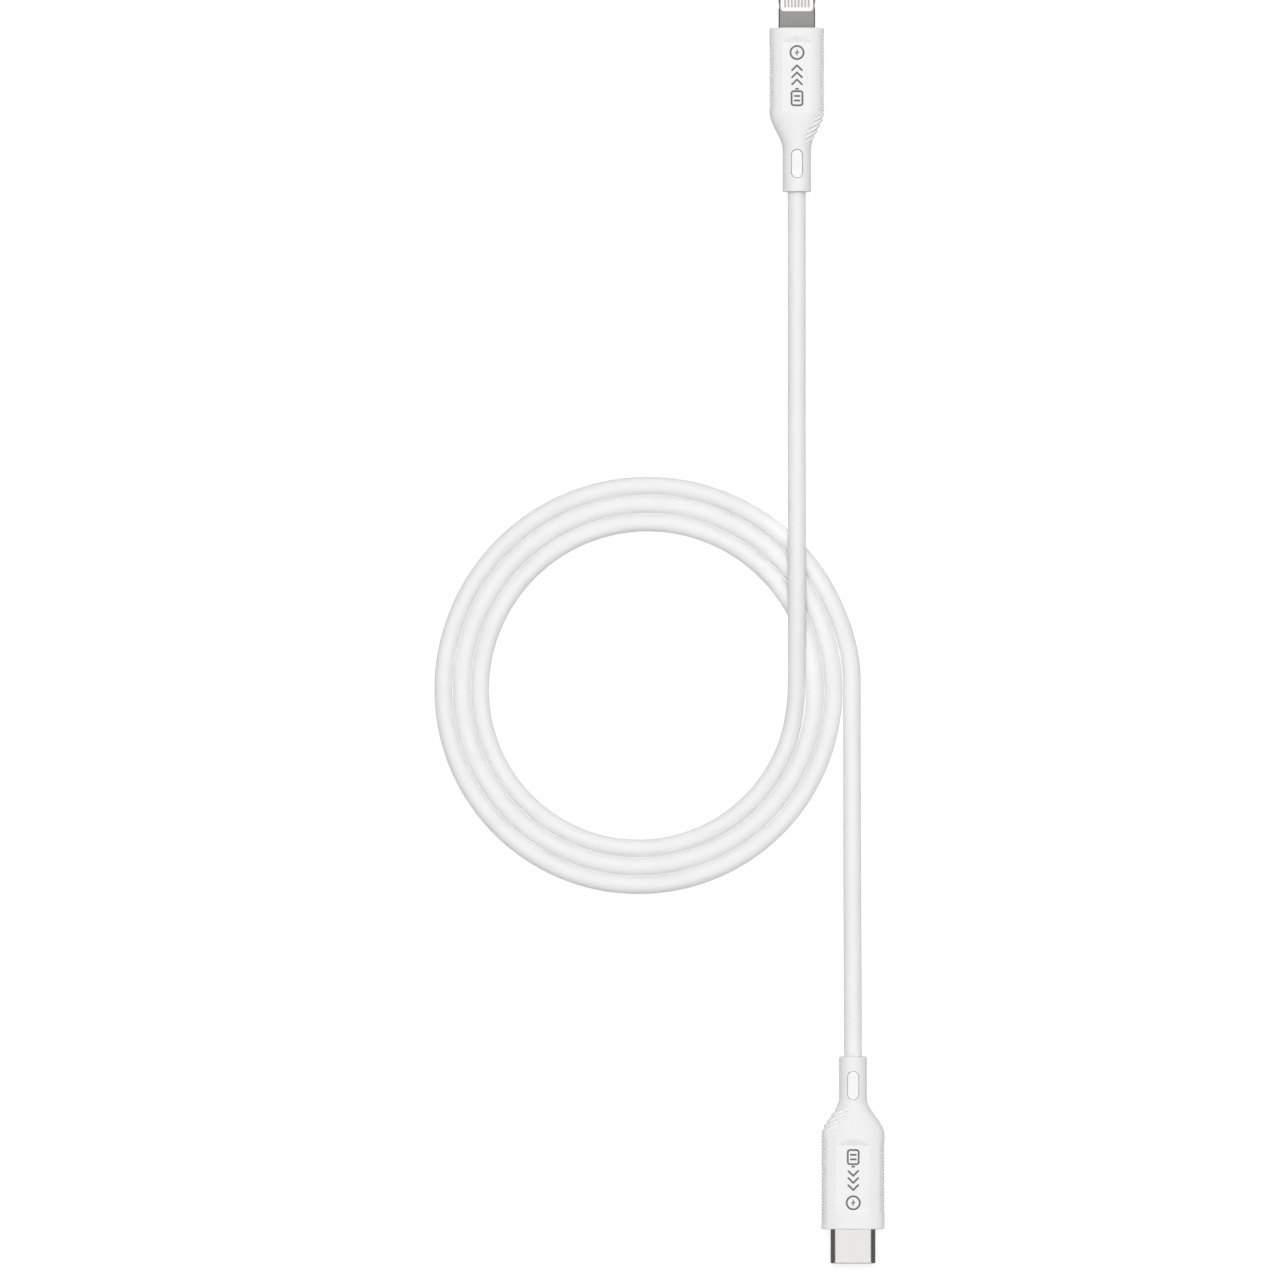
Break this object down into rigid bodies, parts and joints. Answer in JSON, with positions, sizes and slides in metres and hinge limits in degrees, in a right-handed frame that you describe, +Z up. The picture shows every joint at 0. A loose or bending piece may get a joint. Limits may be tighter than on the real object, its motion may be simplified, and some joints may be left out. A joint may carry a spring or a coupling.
{
  "type": "charging cable",
  "caption": "White phone charging cable with a USB-C plug at one end and a flat reversible tab plug at the other, its round cord laid out in a neat flat coil between them.",
  "frame": {"origin": "on the surface that the cable lies on, under the middle of the box round the two plugs", "axes": "+Z up from the surface, +Y along both plugs towards the tip of the tab plug, +X across the plugs, away from the coil"},
  "size_m": [0.0828, 0.2338, 0.007],
  "materials": {
    "sleeve_elastomer": "satin white thermoplastic elastomer, fine mould ribs on the sides",
    "cord_jacket": "satin white elastomer jacket",
    "inner_mould_plastic": "bright white moulded plastic",
    "nickel_plating": "satin nickel plating",
    "white_carrier": "white moulded plastic",
    "contact_plating": "grey plated contacts",
    "shell_steel": "polished deep-drawn steel",
    "black_housing": "black moulded plastic",
    "gold_contacts": "gold-plated copper alloy",
    "spring_steel": "spring temper stainless steel",
    "shield_steel": "tin-plated pressed steel",
    "ferrule_brass": "plain crimped brass",
    "tinned_braid": "tinned copper braid",
    "circuit_board": "green solder mask",
    "chip_epoxy": "black epoxy",
    "capacitor_body": "tan ceramic body",
    "red_insulation": "wire insulation",
    "black_insulation": "wire insulation",
    "green_insulation": "wire insulation",
    "white_insulation": "wire insulation",
    "grey_print": "grey pad print on the label panels"
  },
  "bodies": {
    "cable": {"cord_coil": "cord_jacket", "cord_lower_run": "cord_jacket", "cord_upper_run": "cord_jacket", "tab_board": "circuit_board", "tab_braid_fold": "tinned_braid", "tab_capacitors": "capacitor_body", "tab_contact_carrier": "white_carrier", "tab_contacts_back": "contact_plating", "tab_contacts_front": "contact_plating", "tab_controller_chip": "chip_epoxy", "tab_crimp_ferrule": "ferrule_brass", "tab_data_minus_wire": "white_insulation", "tab_data_plus_wire": "green_insulation", "tab_frame": "nickel_plating", "tab_ground_wire": "black_insulation", "tab_inner_mould": "inner_mould_plastic", "tab_power_wire": "red_insulation", "tab_protection_chip": "chip_epoxy", "tab_shield_lower": "shield_steel", "tab_shield_upper": "shield_steel", "tab_sleeve": "sleeve_elastomer", "usb_c_board": "circuit_board", "usb_c_braid_fold": "tinned_braid", "usb_c_capacitor": "capacitor_body", "usb_c_crimp_ferrule": "ferrule_brass", "usb_c_data_minus_wire": "white_insulation", "usb_c_data_plus_wire": "green_insulation", "usb_c_ground_spring_lower": "spring_steel", "usb_c_ground_spring_upper": "spring_steel", "usb_c_ground_wire": "black_insulation", "usb_c_housing": "black_housing", "usb_c_inner_mould": "inner_mould_plastic", "usb_c_latch_bridge": "spring_steel", "usb_c_power_wire": "red_insulation", "usb_c_resistor": "chip_epoxy", "usb_c_shell": "shell_steel", "usb_c_shield_lower": "shield_steel", "usb_c_shield_upper": "shield_steel", "usb_c_sleeve": "sleeve_elastomer", "usb_c_tails_lower": "gold_contacts", "usb_c_tails_upper": "gold_contacts"},
    "latch_left": {"usb_c_latch_left": "spring_steel"},
    "latch_right": {"usb_c_latch_right": "spring_steel"},
    "contact_row_upper": {"usb_c_contacts_upper": "gold_contacts"},
    "contact_row_lower": {"usb_c_contacts_lower": "gold_contacts"}
  },
  "joints": [
    {"name": "latch_left_flex", "type": "hinge", "parent": "cable", "child": "latch_left", "pos_m": [0.00132, -0.11142, 0.00325], "axis": [0, 0, -1], "range_deg": [0, 2], "stiffness_Nm_per_rad": 0.3},
    {"name": "latch_right_flex", "type": "hinge", "parent": "cable", "child": "latch_right", "pos_m": [0.00824, -0.11142, 0.00325], "axis": [0, 0, 1], "range_deg": [0, 2], "stiffness_Nm_per_rad": 0.3},
    {"name": "contacts_upper_flex", "type": "hinge", "parent": "cable", "child": "contact_row_upper", "pos_m": [0.00478, -0.11142, 0.00381], "axis": [-1, 0, 0], "range_deg": [0, 1.6], "stiffness_Nm_per_rad": 0.6},
    {"name": "contacts_lower_flex", "type": "hinge", "parent": "cable", "child": "contact_row_lower", "pos_m": [0.00478, -0.11142, 0.00269], "axis": [1, 0, 0], "range_deg": [0, 1.6], "stiffness_Nm_per_rad": 0.6}
  ]
}
